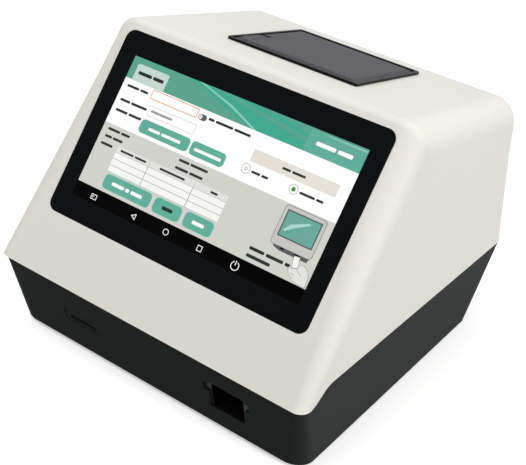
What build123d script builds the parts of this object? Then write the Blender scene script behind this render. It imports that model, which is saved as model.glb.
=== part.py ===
from build123d import *
from math import atan2, cos, degrees, hypot, radians, sin, tan
import os

# Bench reader for test cartridges. A white cover carries a sloping touch screen and, in its top, a
# roll printer. It stands on a dark base that holds the scan unit, the boards and the rear ports.
# Millimetres. +X is to the user's right, +Y to the back, +Z up. The origin is on the table, under
# the middle of the cover's outline.

os.makedirs("parts", exist_ok=True)

# ---------------------------------------------------------------- driving dimensions
cover_width = 243.0          # across the cover at its front lip
cover_depth = 306.0          # front lip to the back of the seam
cover_wall = 2.6
screen_tilt = 59.8           # front face, up from the table
screen_run = 179.6           # lip to the brow, along the front face
top_tilt = 6.2               # the top falls to the back
top_run = 174.0              # brow to crown, along the top
side_draft = 1.66
side_round = 18.0
lip_round = 8.0              # upright corners at the seam; they widen to side_round above
crown_round = 28.0
brow_round = 6.0

foot_height = 4.0
foot_radius = 8.0
foot_sink = 1.2
base_height = 56.0           # underside of the base to the front lip
base_wall = 2.6
base_inset = 1.4             # the base stands back from the cover all round
front_rake = 21.8
back_rake = 16.7
side_rake = 1.5
seam_start = 5.0             # where the seam begins to rise, behind the lip
seam_blend = 27.0
seam_rise = 10.0
seam_gap = 0.8

glass_width = cover_width - 41.1
glass_height = 130.5
glass_thickness = 1.8
glass_round = 6.5
glass_rise = 41.6            # lip to the glass, along the front face
recess_side = 10.8           # recess beside the glass
recess_below = 3.0
recess_above = 3.5
recess_round = 7.3
recess_depth = 0.9           # at its top edge; it runs out to nothing at its foot
screen_pad = 5.6             # depth of the pad that holds the glass
panel_width = glass_width - 9.1                  # eight inch LCD module
panel_height = 116.9
panel_thickness = 6.4
fit = 0.2                    # clearance of a part dropped into its pocket
running = 0.05               # clearance of a shaft in its bearing

printer_front = 34.7         # brow to the printer's flange, along the top
flange_size = 100.0
flange_height = 1.0
rim_rise = 1.0               # the flange's rim stands this far over its face
flange_rim = 2.0
flange_lap = 0.4             # the flange reaches this far in over the skirt
skirt_wall = 1.6
skirt_depth = 14.0
paper_width = 57.0
roll_radius = 24.0
roll_core = 6.5
bin_wall = 1.6
lid_rise = 1.6               # height of the lid's bevelled panel
lid_bevel = 3.0
lid_rear_bevel = 6.0         # longer, so the open lid clears the flange
lid_plate = 1.9
hinge_inset = 5.8            # hinge axis to the flange's back edge
hinge_drop = 2.4             # hinge axis under the flange's face
hinge_pin_radius = 1.0
knuckle_radius = 2.0
platen_radius = 5.0
platen_shaft = 2.0
platen_back = 14.0           # platen axis behind the flange's front edge
platen_drop = 10.0           # platen axis under the flange's face
head_gap = 0.4               # paper and lift-out room between head and platen
gear_module = 0.7
gear_width = 3.0
platen_teeth = 16
idler_teeth = 24
pinion_teeth = 10

slot_x = cover_width / 2 - 57.5                  # cartridge opening
slot_drop = 29.5             # opening's middle under the lip
slot_width = 27.0
slot_height = 27.0
slot_ear = 4.0
guide_wall = 1.5
guide_depth = 16.0
card_x = 67.0 - cover_width / 2                  # ID-card slot
card_width = 23.0
card_height = 4.6
chassis_tail = 12.0          # plate behind the rods, under the coupling
chassis_width = 60.0
chassis_plate = 3.0
chassis_gap = 6.0            # base floor to the chassis
rod_radius = 2.5
rod_spread = 22.0
rod_height = 12.0            # rod axes over the chassis
carriage_length = 52.0
carriage_travel = 45.0
rod_length = carriage_length + carriage_travel + 41.0
chassis_length = rod_length + chassis_tail
screw_radius = 2.5
stage_motor_size = 28.0
stage_motor_length = 30.0
cartridge_width = 21.0

board_width = 120.0
board_depth = 150.0
board_thickness = 1.6
board_height = 8.0           # posts under the main board
fan_size = 30.0
fan_depth = 10.0
panel_span = 176.0           # rear port panel
panel_rise = 34.0
panel_sink = 3.0
panel_ledge = 1.6            # ledge of the port recess that the panel rests on
screw_head = 2.8
screw_shank = 1.5

# ---------------------------------------------------------------- derived places
lip_y = -cover_depth / 2
back_y = cover_depth / 2
lip_z = foot_height + base_height
seam_z = lip_z + seam_rise
floor_z = foot_height + base_wall                 # inside of the base's floor
brow_y = lip_y + screen_run * cos(radians(screen_tilt))
brow_z = lip_z + screen_run * sin(radians(screen_tilt))
crown_y = brow_y + top_run * cos(radians(top_tilt))
crown_z = brow_z - top_run * sin(radians(top_tilt))

front = Plane(
    origin=(0, lip_y, lip_z),
    x_dir=(1, 0, 0),
    z_dir=(0, -sin(radians(screen_tilt)), cos(radians(screen_tilt))),
)
top = Plane(
    origin=(0, brow_y, brow_z),
    x_dir=(1, 0, 0),
    z_dir=(0, sin(radians(top_tilt)), cos(radians(top_tilt))),
)
recess_foot = glass_rise - recess_below
recess_length = recess_below + glass_height + recess_above
recess_angle = degrees(atan2(recess_depth, recess_length))
screen = Plane(
    origin=front.from_local_coords((0, recess_foot, 0)),
    x_dir=(1, 0, 0),
    z_dir=(0, -sin(radians(screen_tilt + recess_angle)), cos(radians(screen_tilt + recess_angle))),
)
glass_middle = recess_below + glass_height / 2
printer = Plane(
    origin=top.from_local_coords((0, printer_front, flange_height)),
    x_dir=(1, 0, 0),
    z_dir=top.z_dir,
)
undercut = Plane(
    origin=(0, lip_y + base_inset, lip_z),
    x_dir=(1, 0, 0),
    z_dir=(0, -cos(radians(front_rake)), -sin(radians(front_rake))),
)


# ---------------------------------------------------------------- shared shapes
def block(x0, x1, y0, y1, z0, z1):
    """Box between two corners."""
    return Pos((x0 + x1) / 2, (y0 + y1) / 2, (z0 + z1) / 2) * Box(x1 - x0, y1 - y0, z1 - z0)


def in_plane(plane, shape):
    """Shape drawn in a plane's own axes, placed on that plane."""
    return plane.location * shape


def bar(start, end, radius, hole=0.0):
    """Round bar, or a tube, between two points."""
    axis = Vector(*end) - Vector(*start)
    shape = Cylinder(radius, axis.length, align=(Align.CENTER, Align.CENTER, Align.MIN))
    if hole:
        shape -= Cylinder(hole, axis.length, align=(Align.CENTER, Align.CENTER, Align.MIN))
    return Plane(origin=start, z_dir=axis).location * shape


def rounded_plate(width, height, radius, depth):
    """Plate with rounded corners, its face on the local XY plane and its depth below it."""
    return Pos(0, 0, -depth) * extrude(RectangleRounded(width, height, radius), depth)


def gear(teeth, width, bore, turn):
    """Spur gear about local Z with a tooth centred at the angle turn."""
    pitch = teeth * gear_module / 2
    tip = pitch + 0.85 * gear_module
    root = pitch - 1.1 * gear_module
    step = 360 / teeth
    outline = []
    for tooth in range(teeth):
        for radius, offset in ((root, -0.33), (tip, -0.10), (tip, 0.10), (root, 0.33)):
            angle = radians(turn + (tooth + offset) * step)
            outline.append((radius * cos(angle), radius * sin(angle)))
    shape = extrude(make_face(Polyline(*outline, close=True)), width)
    return shape - Cylinder(bore, width, align=(Align.CENTER, Align.CENTER, Align.MIN))


def meshed_turn(teeth, turn, other_teeth, direction):
    """Turn that puts a gap of the other gear on this gear's tooth, along the line of centres."""
    return direction + 180 + (direction - turn) * teeth / other_teeth + 180 / other_teeth


def write(name, shape):
    """One STEP file for a node."""
    export_step(shape, f"parts/{name}.step")


# ---------------------------------------------------------------- seam between cover and base
def under_seam(drop):
    """Everything below the seam line: level at the front lip, then an S up to the sides and back."""
    low = lip_z - drop
    high = seam_z - drop
    first = lip_y + seam_start
    last = first + seam_blend
    far = cover_depth
    edge = [
        Line((-far, low), (first, low)),
        Spline((first, low), (last, high), tangents=((1, 0), (1, 0))),
        Line((last, high), (far, high)),
        Polyline((far, high), (far, -far), (-far, -far), (-far, low)),
    ]
    return extrude(Plane.YZ * make_face(edge), cover_width, both=True)


# ---------------------------------------------------------------- cover
def stretched(start, end, length):
    """Point that lies length beyond end, on the line from start."""
    span = hypot(end[0] - start[0], end[1] - start[1])
    return (
        end[0] + (end[0] - start[0]) * length / span,
        end[1] + (end[1] - start[1]) * length / span,
    )


def cover_form(inset):
    """The cover's outside, drawn in by inset and run on below the seam."""
    brow = (brow_y, brow_z)
    crown = (crown_y, crown_z)
    front_end = stretched(brow, (lip_y, lip_z), base_height / 2)
    back_end = stretched(crown, (back_y, seam_z), base_height / 2)
    side_view = make_face(Polyline(front_end, brow, crown, back_end, close=True))
    if inset:
        side_view = offset(side_view, -inset, kind=Kind.INTERSECTION)
    form = extrude(Plane.YZ * side_view, cover_width, both=True)
    taper = tan(radians(side_draft))
    low = cover_width / 2 - inset + lip_z * taper
    high = low - 2 * brow_z * taper
    end_view = make_face(Polyline((-low, 0), (low, 0), (high, 2 * brow_z), (-high, 2 * brow_z), close=True))
    form &= extrude(Plane.XZ * end_view, cover_depth, both=True)
    cross_edges = [e for e in form.edges() if e.center().Z > seam_z and abs(e.tangent_at(0.5).X) > 0.9]
    cross_edges.sort(key=lambda e: e.center().Y)
    form = fillet(cross_edges[-1], crown_round - inset)
    brow_edge = [e for e in form.edges() if e.geom_type == GeomType.LINE and abs(e.tangent_at(0.5).X) > 0.9]
    brow_edge = max(brow_edge, key=lambda e: e.center().Z)
    form = fillet(brow_edge, max(brow_round - inset, 1))
    side_faces = [f for f in form.faces() if abs(f.normal_at().X) > 0.9]
    side_edges = [e for f in side_faces for e in f.edges() if e.bounding_box().max.Z > seam_z + side_round]
    return fillet(side_edges, side_round - inset)


corner_patch = 22.0          # size of the piece that fills a corner out
corner_start = -30.0         # it begins this far below the seam, along the front or back slope
corner_inset = 0.02          # its faces lie this far inside the cover's


def corner_piece(plane, side, end):
    """Filling for one upright corner: from lip_round at the seam it fades into the cover's side_round."""
    taper = tan(radians(side_draft))

    def section(along):
        foot = plane.from_local_coords((0, along, 0))
        reach = cover_width / 2 - corner_inset - (foot.Z - lip_z) * taper
        lean = corner_patch * taper * plane.z_dir.Z
        radius = lip_round + (side_round + 1 - lip_round) * max(along, 0) / end
        corner = (side * reach, 0)
        points = [
            corner, (side * (reach + lean), -corner_patch),
            (side * (reach - corner_patch), -corner_patch), (side * (reach - corner_patch), 0),
        ]
        shape = make_face(Polyline(*points, close=True))
        outer = max(shape.vertices(), key=lambda v: v.X * side + v.Y)
        inner_foot = foot - plane.z_dir * corner_inset
        level = Plane(origin=inner_foot, x_dir=(1, 0, 0), z_dir=Vector(1, 0, 0).cross(plane.z_dir))
        return level * fillet(outer, radius)

    lower = loft([section(corner_start), section(0)], ruled=True)
    return lower + loft([section(0), section(end)], ruled=True)


def boss_places():
    """Cover screws, one near each corner of the base."""
    side = cover_width / 2 - side_round
    front_y = lip_y + base_inset + base_height * tan(radians(front_rake)) + side_round
    rear_y = back_y - base_inset - base_height * tan(radians(back_rake)) - side_round
    return [(x, y) for y in (front_y, rear_y) for x in (-side, side)]


boss_radius = 4.5
boss_reach = 12.0            # cover boss above the seam
bridge_height = 30.0         # gusset that ties a cover boss to the side wall
tongue_inset = 6.4           # ring on the base that stands inside the cover
tongue_wall = 1.4
tongue_rise = 2.4


def make_cover():
    """White shell: open below, with the screen recess, the printer opening and four screw bosses."""
    inside = cover_form(cover_wall)
    shell = cover_form(0)
    back_slope = degrees(atan2(crown_z - seam_z, back_y - crown_y))
    back_run = hypot(crown_z - seam_z, back_y - crown_y)
    back_face = Plane(
        origin=(0, back_y, seam_z),
        x_dir=(-1, 0, 0),
        z_dir=(0, sin(radians(back_slope)), cos(radians(back_slope))),
    )
    for side in (-1, 1):
        shell += corner_piece(front, side, screen_run - crown_round)
        shell += corner_piece(back_face, side, back_run - crown_round)
    shell = shell - inside - under_seam(0)
    pad_width = glass_width + 2 * cover_wall + 4
    pad_height = glass_height + 2 * cover_wall
    pad = in_plane(screen, Pos(0, glass_middle, 0) * rounded_plate(pad_width, pad_height, glass_round, screen_pad))
    shell += pad & inside
    for x, y in boss_places():
        wall_x = (cover_width / 2 - cover_wall / 2) * (1 if x > 0 else -1)
        gusset = block(
            min(x, wall_x), max(x, wall_x), y - 1.2, y + 1.2, seam_z + tongue_rise + 1, seam_z + bridge_height
        )
        boss = bar((x, y, seam_z + seam_gap), (x, y, seam_z + boss_reach), boss_radius)
        shell += (gusset + boss) & inside
        shell -= bar((x, y, seam_z), (x, y, seam_z + boss_reach - 2), screw_shank)
    # shallow recess: a flat cutter tipped about its lower edge
    recess = Pos(0, recess_length / 2, recess_depth * 4) * rounded_plate(
        glass_width + 2 * recess_side, recess_length, recess_round, recess_depth * 4
    )
    shell -= in_plane(screen, recess)
    pocket = rounded_plate(glass_width + 2 * fit, glass_height + 2 * fit, glass_round + fit, glass_thickness)
    window = rounded_plate(panel_width + 2 * fit, panel_height + 2 * fit, 1, screen_pad + cover_wall)
    shell -= in_plane(screen, Pos(0, glass_middle, 0) * pocket)
    shell -= in_plane(screen, Pos(0, glass_middle, 0) * window)
    opening = flange_size - 2 * flange_rim + 2 * fit
    middle = printer_front + flange_size / 2
    shell -= in_plane(top, Pos(0, middle, cover_wall) * rounded_plate(opening, opening, 2, 4 * cover_wall))
    shell -= make_vents()
    return shell


vent_count = 9
vent_length = 34.0
vent_width = 2.4
vent_pitch = 6.0
vent_x = 62.0


def make_vents():
    """Cooling slots through the cover's back wall, across from the fan's side."""
    lean = atan2(back_y - crown_y, crown_z - seam_z)
    slots = None
    for index in range(vent_count):
        x = -vent_x + (index - (vent_count - 1) / 2) * vent_pitch
        rise = seam_z + vent_length
        y = back_y - (rise - seam_z) * tan(lean)
        slot = Pos(x, y, rise) * Rot(degrees(lean), 0, 0) * extrude(
            Plane.XZ * SlotOverall(vent_length, vent_width, rotation=90), 3 * cover_wall, both=True
        )
        slots = slot if slots is None else slots + slot
    return slots


write("top_cover", make_cover())

# ---------------------------------------------------------------- base
base_round_gain = 6.0        # the base's corners are this much rounder at its foot


def base_form(inset, floor, least_round=1.0):
    """The base's outside, drawn in by inset, from the height floor to the top of the seam."""
    def outline(z):
        drop = lip_z - z
        near = lip_y + base_inset + inset + drop * tan(radians(front_rake))
        far = back_y - base_inset - inset - drop * tan(radians(back_rake))
        half = cover_width / 2 - base_inset - inset - drop * tan(radians(side_rake))
        corner = max(lip_round + base_round_gain * drop / base_height - inset, least_round)
        return Pos(0, (near + far) / 2, z) * RectangleRounded(2 * half, far - near, corner)
    return loft([outline(floor), outline(seam_z + base_wall)], ruled=True)


post_radius = 4.5
post_hole = 1.7


panel_y = back_y - base_inset - base_height * tan(radians(back_rake)) + foot_height - panel_sink
panel_low = floor_z + 4.0
panel_high = panel_low + panel_rise
panel_thickness_rear = 2.0


def slot_cutter(grow, depth):
    """Cartridge opening with its two finger ears, cut square to the base's front face."""
    middle = -slot_drop / cos(radians(front_rake))
    outline = Pos(slot_x, middle) * RectangleRounded(slot_width + 2 * grow, slot_height + 2 * grow, 2)
    ear = RectangleRounded(slot_width + 2 * slot_ear + 2 * grow, slot_height / 3 + 2 * grow, 2)
    outline += Pos(slot_x, middle + slot_height / 4) * ear
    return in_plane(undercut, Pos(0, 0, -depth) * extrude(outline, 2 * depth))


def make_base():
    """Dark tray: undercut front with two slots, port recess at the back, posts on its floor."""
    tray = base_form(0, foot_height) - base_form(base_wall, floor_z)
    ring_round = side_round - cover_wall
    inner = base_form(tongue_inset + tongue_wall, floor_z, ring_round - tongue_wall)
    ring = base_form(tongue_inset, floor_z, ring_round) - inner
    ring &= under_seam(-tongue_rise) - under_seam(base_wall + tongue_rise)
    web = base_form(base_wall / 2, floor_z) - inner
    web &= under_seam(base_wall) - under_seam(base_wall + tongue_rise)
    tray = (tray & under_seam(seam_gap)) + ring + web
    tray = tray - slot_cutter(0, guide_depth)
    card_drop = -slot_drop / cos(radians(front_rake))
    card = Pos(card_x, card_drop) * RectangleRounded(card_width, card_height, card_height / 2 - 0.1)
    dish = Pos(card_x, card_drop + card_height / 2) * RectangleRounded(card_width + 8, 3 * card_height, card_height)
    tray -= in_plane(undercut, Pos(0, 0, -3 * base_wall) * extrude(card, 6 * base_wall))
    tray -= in_plane(undercut, Pos(0, 0, -0.5) * extrude(dish, base_wall))
    # port recess: a box let into the raked back wall, closed by the port panel
    half = panel_span / 2
    box = block(
        -half - base_wall, half + base_wall, panel_y - base_wall, back_y,
        panel_low - base_wall, panel_high + base_wall,
    )
    tray += box & base_form(0, foot_height) & under_seam(seam_gap)
    tray -= block(-half, half, panel_y - panel_thickness_rear, back_y, panel_low, panel_high)
    tray -= block(
        -half + panel_ledge, half - panel_ledge, panel_y - 2 * base_wall, back_y,
        panel_low + panel_ledge, panel_high - panel_ledge,
    )
    for x, y in boss_places():
        tray += bar((x, y, floor_z), (x, y, seam_z + seam_gap), post_radius)
        tray -= bar((x, y, foot_height), (x, y, seam_z + seam_gap), post_hole)
        tray -= bar((x, y, foot_height), (x, y, foot_height + 2 * screw_shank), screw_head + fit)
    for x, y in foot_places():
        tray -= bar((x, y, foot_height), (x, y, foot_height + foot_sink), foot_radius)
    for x, y in board_posts():
        tray += bar((x, y, floor_z), (x, y, floor_z + board_height), 3.5)
        tray -= bar((x, y, floor_z + 1), (x, y, floor_z + board_height), screw_shank)
    for x, y in chassis_posts():
        tray += bar((x, y, floor_z), (x, y, floor_z + chassis_gap), 4)
        tray -= bar((x, y, floor_z + 1), (x, y, floor_z + chassis_gap), screw_shank)
    tray -= speaker_holes()
    return tray


def foot_places():
    """Feet, set in from the corners of the base's floor."""
    side = cover_width / 2 - side_round - foot_radius - 6
    near = boss_places()[0][1] + 2 * foot_radius
    far = boss_places()[2][1] - 2 * foot_radius
    return [(x, y) for y in (near, far) for x in (-side, side)]


board_left = -cover_width / 2 + 12.0
board_front = lip_y + 81.0
board_margin = 5.0


def board_posts():
    """Four posts under the main board's corners."""
    near = board_front + board_margin
    far = board_front + board_depth - board_margin
    left = board_left + board_margin
    right = board_left + board_width - board_margin
    return [(x, y) for y in (near, far) for x in (left, right)]


# ---------------------------------------------------------------- scan unit places
chassis_z = floor_z + chassis_gap
slot_z = lip_z - slot_drop
slot_face_y = lip_y + base_inset + slot_drop * tan(radians(front_rake))
chassis_front = slot_face_y + guide_depth + 12.0
rod_z = chassis_z + chassis_plate + rod_height
block_length = 8.0
rear_block_y = chassis_front + rod_length - block_length


def chassis_posts():
    """Four posts under the scan chassis."""
    near = chassis_front + 6.0
    far = chassis_front + chassis_length - 6.0
    side = chassis_width / 2 - 5.0
    return [(slot_x + dx, y) for y in (near, far) for dx in (-side, side)]


speaker_x = -14.0
speaker_y = lip_y + 55.0
speaker_radius = 14.0


def speaker_holes():
    """Rings of small holes under the speaker."""
    holes = bar((speaker_x, speaker_y, foot_height), (speaker_x, speaker_y, floor_z), 1)
    for ring, count in ((4.0, 6), (8.0, 12)):
        for index in range(count):
            angle = radians(360 * index / count)
            x = speaker_x + ring * cos(angle)
            y = speaker_y + ring * sin(angle)
            holes += bar((x, y, foot_height), (x, y, floor_z), 1)
    return holes


write("base_shell", make_base())

feet = [bar((x, y, 0), (x, y, foot_height + foot_sink), foot_radius) for x, y in foot_places()]
write("rubber_feet", Compound(feet))

cover_screw_seat = foot_height + 2 * screw_shank
cover_screws = [
    bar((x, y, foot_height + screw_shank), (x, y, cover_screw_seat), screw_head)
    + bar((x, y, cover_screw_seat), (x, y, seam_z + boss_reach - 2), screw_shank)
    for x, y in boss_places()
]
write("cover_screws", Compound(cover_screws))

# ---------------------------------------------------------------- display
glass = Pos(0, glass_middle, 0) * rounded_plate(glass_width, glass_height, glass_round, glass_thickness)
write("touch_glass", in_plane(screen, glass))

panel = Pos(0, glass_middle, -glass_thickness) * rounded_plate(panel_width, panel_height, 1, panel_thickness)
write("lcd_panel", in_plane(screen, panel))

bracket_sheet = 1.2
bracket_depth = glass_thickness + panel_thickness
bracket_ear = 9.0
ear_x = panel_width / 2 + 6.0
ear_y = panel_height / 2 - 14.0


def make_bracket():
    """Sheet frame behind the LCD, with four ears screwed to posts on the cover's pad."""
    sheet = rounded_plate(panel_width - 4, panel_height - 4, 4, bracket_sheet)
    sheet -= rounded_plate(panel_width - 50, panel_height - 44, 6, bracket_sheet)
    for x in (-ear_x, ear_x):
        for y in (-ear_y, ear_y):
            inner = x - (ear_x - panel_width / 2 + 6) * (1 if x > 0 else -1)
            ear = block(min(x, inner) - 4, max(x, inner) + 4, y - 5, y + 5, -bracket_sheet, 0)
            post = bar((x, y, 0), (x, y, bracket_depth - screen_pad), 3.4)
            sheet += ear + post
            sheet -= bar((x, y, -bracket_sheet), (x, y, bracket_depth - screen_pad), screw_shank)
    return in_plane(screen, Pos(0, glass_middle, -bracket_depth) * sheet)


write("display_bracket", make_bracket())

bracket_screws = []
for x in (-ear_x, ear_x):
    for y in (-ear_y, ear_y):
        seat = -bracket_depth - bracket_sheet
        shape = bar((x, y, seat - screw_shank), (x, y, seat), screw_head)
        shape += bar((x, y, seat), (x, y, -screen_pad), screw_shank)
        bracket_screws.append(in_plane(screen, Pos(0, glass_middle, 0) * shape))
write("bracket_screws", Compound(bracket_screws))

driver_board = Pos(0, glass_middle, -bracket_depth - bracket_sheet) * rounded_plate(90, 34, 2, 1.6)
driver_board += Pos(0, glass_middle - 8, -bracket_depth - bracket_sheet - 1.6) * rounded_plate(26, 5, 0.5, 3)
driver_board = in_plane(screen, Pos(0, panel_height / 2 - 22, 0) * driver_board)
write("display_board", driver_board)

# ---------------------------------------------------------------- printer
skirt_half = flange_size / 2 - flange_rim
hinge = (flange_size - hinge_inset, -hinge_drop)
bin_half = paper_width / 2 + 0.8
bin_outer = bin_half + bin_wall
roll_drop = skirt_depth + roll_radius - 4.0
roll_back = platen_back + 22.0 + roll_radius
bin_near = roll_back - roll_radius - 1.0
bin_far = roll_back + roll_radius + 1.0
bin_floor = roll_drop + roll_radius + 0.3
cheek_inner = bin_half + 1.9
cheek_wall = 2.0
gear_x = -cheek_inner - cheek_wall - 0.8        # inner face of the gear train
gear_plate_x = gear_x - gear_width - 0.8
gear_plate = 1.2

platen_at = (platen_back, -platen_drop)
idler_direction = -60.0
pinion_direction = -18.0
platen_turn = idler_direction
mesh_slack = 0.1


def gear_span(teeth_a, teeth_b):
    """Distance between the axes of two meshed gears."""
    return (teeth_a + teeth_b) * gear_module / 2 + mesh_slack


def polar(start, distance, direction):
    """Point at a distance and a direction in degrees from start."""
    angle = radians(direction)
    return (start[0] + distance * cos(angle), start[1] + distance * sin(angle))


idler_at = polar(platen_at, gear_span(platen_teeth, idler_teeth), idler_direction)
pinion_at = polar(idler_at, gear_span(idler_teeth, pinion_teeth), pinion_direction)
idler_turn = meshed_turn(platen_teeth, platen_turn, idler_teeth, idler_direction)
pinion_turn = meshed_turn(idler_teeth, idler_turn, pinion_teeth, pinion_direction)


def printer_plane(x):
    """Plane square to X at x, with its own axes along and above the printer's flange."""
    return Plane(origin=printer.from_local_coords((x, 0, 0)), x_dir=printer.y_dir, z_dir=(1, 0, 0))


def printer_bar(x0, x1, at, radius, hole=0.0):
    """Round bar along X, at a place seen from the printer's side."""
    shape = Cylinder(radius, x1 - x0, align=(Align.CENTER, Align.CENTER, Align.MIN))
    if hole:
        shape -= Cylinder(hole, x1 - x0, align=(Align.CENTER, Align.CENTER, Align.MIN))
    return printer_plane(x0).location * Pos(at[0], at[1], 0) * shape


def printer_gear(x0, at, teeth, bore, turn):
    """Gear about an axis along X, at a place seen from the printer's side."""
    return printer_plane(x0).location * Pos(at[0], at[1], 0) * gear(teeth, gear_width, bore, turn)


idler_pin_radius = 1.5
motor_shaft_radius = 1.0
printer_motor_radius = 7.5
printer_motor_length = 8.0
lid_bay = skirt_half - flange_lap                # half the square hole in the flange
lid_side = 0.5               # gap beside the lid
lid_front = flange_rim + flange_lap + lid_side
lid_lip = 0.8                # edge of the lid that lies over the skirt
flange_round = 1.5
paper_gate = 4.0
bay_depth = 34.0
hinge_relief = 3.3
head_back = flange_rim + 2 * skirt_wall


def make_printer_frame():
    """Black moulding: flange, skirt, deck, paper bin and the wall that carries the gear train."""
    size = flange_size
    middle = Pos(0, size / 2, 0)
    room = skirt_half - skirt_wall
    frame = middle * Pos(0, 0, rim_rise) * rounded_plate(size, size, flange_round, flange_height + rim_rise)
    frame += middle * rounded_plate(2 * skirt_half, 2 * skirt_half, flange_round, skirt_depth)
    frame -= middle * rounded_plate(2 * lid_bay, 2 * lid_bay, flange_round, flange_height)
    frame -= middle * Pos(0, 0, rim_rise) * rounded_plate(2 * skirt_half, 2 * skirt_half, flange_round, rim_rise)
    frame -= middle * rounded_plate(2 * room, 2 * room, 1, skirt_depth)
    deck_top = -skirt_depth + bin_wall
    frame += block(-room - 0.5, room + 0.5, bin_near - bin_wall, size - flange_rim - 1, -skirt_depth, deck_top)
    frame += block(
        -bin_outer, bin_outer, bin_near - bin_wall, bin_far + bin_wall, -bin_floor - bin_wall, deck_top
    )
    frame -= block(-bin_half, bin_half, bin_near, bin_far, -bin_floor, 0)
    # walls beside the mechanism bay, and the wall behind the print head
    for x0 in (-bin_outer, bin_half):
        frame += block(x0, x0 + bin_wall, flange_rim + 1, bin_near, -bay_depth, -skirt_depth + 0.5)
    frame += block(-bin_outer, bin_outer, flange_rim + 1, head_back, -skirt_depth - 8, -skirt_depth + bin_wall)
    # paper leaves over the lowered front edge; the lid's back edge turns in a relief
    frame -= block(-bin_half, bin_half, flange_rim, flange_rim + skirt_wall, -paper_gate, 0)
    frame = in_plane(printer, frame)
    frame -= printer_bar(-room, room, hinge, hinge_relief)
    return frame - printer_bar(-skirt_half, skirt_half, hinge, hinge_pin_radius)


write("printer_frame", make_printer_frame())
write("lid_hinge_pin", printer_bar(-skirt_half, skirt_half, hinge, hinge_pin_radius))

lid_half = lid_bay - lid_side
lever_x0 = -lid_half
lever_x1 = -lid_half + 9.0
lever_front = 14.0
lever_back = 38.0
lever_gap = 0.5


def make_lid():
    """Printer lid: plate with a bevelled panel, hinge knuckles behind and bearing cheeks in front."""
    rear = hinge[0] + knuckle_radius
    length = rear - lid_front
    middle = lid_front + length / 2
    inner = skirt_half - skirt_wall - 2 * fit
    inner_front = flange_rim + skirt_wall + 2 * fit
    plate = Pos(0, middle, 0) * rounded_plate(2 * lid_half, length, 1.5, lid_lip)
    plate += block(-inner, inner, inner_front, rear, -lid_plate, 0)
    low_face = Pos(0, middle, 0) * RectangleRounded(2 * lid_half, length, 1.5)
    high_length = length - lid_bevel - lid_rear_bevel
    high_face = Pos(0, lid_front + lid_bevel + high_length / 2, lid_rise) * RectangleRounded(
        2 * (lid_half - lid_bevel), high_length, 1
    )
    plate += loft([low_face, high_face], ruled=True)
    notch = block(
        lever_x0 - 1, lever_x1 + lever_gap, lever_front - lever_gap, lever_back + lever_gap,
        -lid_plate - 1, lid_rise + 1,
    )
    plate -= notch
    # the rear corners are notched, to turn down between the skirt's side walls
    for x0, x1 in ((-lid_half - 1, -inner), (inner, lid_half + 1)):
        plate -= block(x0, x1, hinge[0] - hinge_relief, rear + 1, -lid_plate - 1, lid_rise + 1)
    # stiffening ribs over the paper bin
    for y in (46.0, 62.0, 78.0):
        plate += block(-bin_half, bin_half, y - 0.8, y + 0.8, -lid_plate - 2.5, -lid_plate)
    lid = in_plane(printer, plate)
    for x0, x1 in ((-cheek_inner - cheek_wall, -cheek_inner), (cheek_inner, cheek_inner + cheek_wall)):
        cheek = in_plane(printer, block(x0, x1, platen_back - 5, platen_back + 9, -lid_plate - 4, -lid_plate))
        cheek += in_plane(printer, block(x0, x1, platen_back - 4, platen_back + 4, -platen_drop, -lid_plate))
        cheek += printer_bar(x0, x1, platen_at, 4)
        lid += cheek - printer_bar(x0, x1, platen_at, platen_shaft + running)
    for x in (-skirt_half + 8, skirt_half - 8):
        knuckle = printer_bar(x - 5, x + 5, hinge, knuckle_radius)
        knuckle += in_plane(printer, block(x - 5, x + 5, hinge[0] - 6, hinge[0], hinge[1] - 1.4, -lid_plate))
        lid += knuckle
    lid -= printer_bar(-skirt_half, skirt_half, hinge, hinge_pin_radius + running)
    # lever pin holes, in the lid's edge beside the notch
    return lid - lever_pin_shape(running)


lever_pin_radius = 0.8
lever_heel = 2.6
lever_axis = (lever_back - lever_heel, -1.2)


def lever_pin_shape(clearance):
    """The lever's pin, along X through the lever and into the lid beside it."""
    return printer_bar(lever_x0 + 1.5, lever_x1 + 4, lever_axis, lever_pin_radius + clearance)


def make_lever():
    """Release lever: a thumb plate flush with the lid's panel, with its pin and a short nose."""
    inner = -(skirt_half - skirt_wall - 2 * fit)
    plate = block(lever_x0, lever_x1, lever_front, lever_back, -lid_lip, lid_rise * 0.45)
    plate += block(inner, lever_x1, lever_front, lever_back, -lid_plate, -lid_lip)
    grip = block(lever_x0 + 1, lever_x1 - 1, lever_front, lever_front + 3, lid_rise * 0.45, lid_rise)
    nose = block(lever_x0 + 2, lever_x1 - 2, lever_front + 2, lever_front + 5, -lid_plate - 5, -lid_plate)
    lever = in_plane(printer, plate + grip + nose)
    heel = printer_bar(inner, lever_x1, lever_axis, lever_heel)
    lever &= in_plane(printer, block(lever_x0, lever_x1, lever_front, lever_axis[0], -10, 5)) + heel
    return lever + lever_pin_shape(0)


write("printer_lid", make_lid())
write("lid_lever", make_lever())

platen_length = paper_width + 1.0
shaft_left = gear_x - gear_width
shaft_right = cheek_inner + cheek_wall + 1.0
roller = printer_bar(-platen_length / 2, platen_length / 2, platen_at, platen_radius, platen_shaft)
write("platen_roller", roller)
write("platen_shaft", printer_bar(shaft_left, shaft_right, platen_at, platen_shaft))
write("platen_gear", printer_gear(gear_x - gear_width, platen_at, platen_teeth, platen_shaft, platen_turn))

idler = printer_gear(gear_x - gear_width, idler_at, idler_teeth, idler_pin_radius + running, idler_turn)
write("idler_gear", idler)
pinion = printer_gear(gear_x - gear_width, pinion_at, pinion_teeth, motor_shaft_radius, pinion_turn)
write("motor_pinion", pinion)
write("motor_shaft", printer_bar(gear_plate_x - gear_plate - 2, gear_x, pinion_at, motor_shaft_radius))
write("idler_pin", printer_bar(gear_plate_x, -bin_outer, idler_at, idler_pin_radius))


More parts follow.
